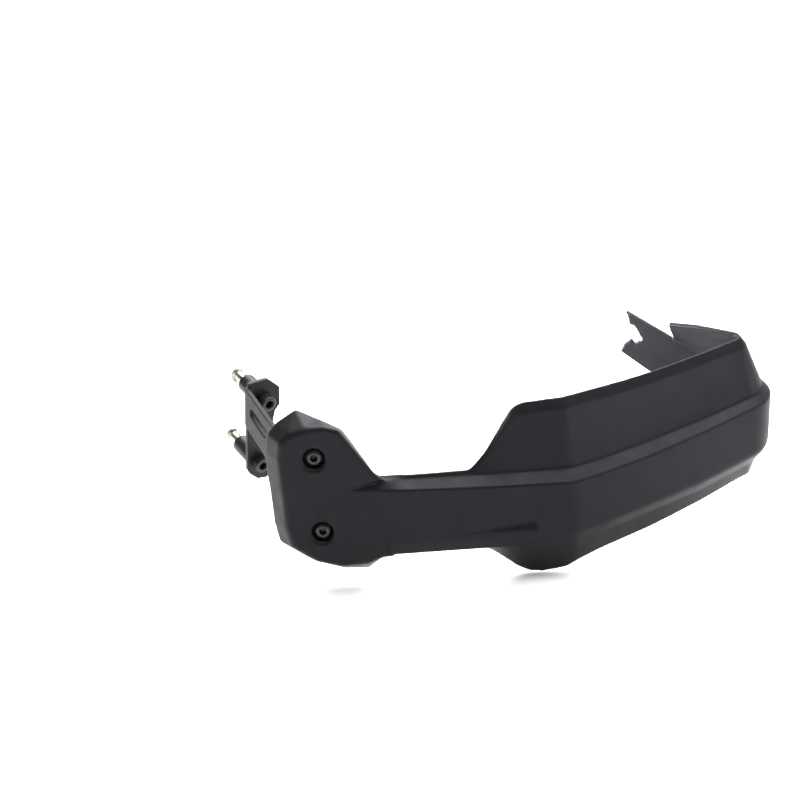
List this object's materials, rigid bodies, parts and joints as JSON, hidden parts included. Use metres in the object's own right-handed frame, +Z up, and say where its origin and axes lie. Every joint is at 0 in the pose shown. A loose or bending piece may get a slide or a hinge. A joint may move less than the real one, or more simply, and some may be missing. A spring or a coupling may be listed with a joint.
{
  "type": "motorcycle hand guard",
  "caption": "Moulded motorcycle hand guard with a slim arm, a swept wrap-round shield ending in an open bar-end fork, and a bent steel clamp bracket.",
  "frame": {"origin": "midway between the axes of the two clamp screws, in the plane of the standoffs' rear end faces, which bear on the handlebar's bracket", "axes": "+X runs outboard along the straight arm and is the part's longest extent, +Y runs rearward to the rider, +Z runs up along the line of the two fixing screws"},
  "size_m": [0.345, 0.1227, 0.1261],
  "materials": {
    "shell_plastic": "satin moulded black",
    "bracket_coat": "satin black powder coat",
    "black_steel": "black oxide, lightly oiled",
    "standoff_black": "satin black coating",
    "plated_steel": "bright zinc plate"
  },
  "bodies": {
    "root": {"guard_shell": "shell_plastic", "mounting_bracket": "bracket_coat", "fixing_screw_upper": "black_steel", "fixing_screw_lower": "black_steel", "boss_sleeve_upper": "plated_steel", "boss_sleeve_lower": "plated_steel", "fixing_washer_upper": "plated_steel", "fixing_washer_lower": "plated_steel", "fixing_nut_upper": "plated_steel", "fixing_nut_lower": "plated_steel", "standoff_screw_upper": "black_steel", "standoff_screw_lower": "black_steel", "standoff_upper": "standoff_black", "standoff_lower": "standoff_black", "clamp_screw_upper": "plated_steel", "clamp_screw_lower": "plated_steel"}
  },
  "joints": []
}
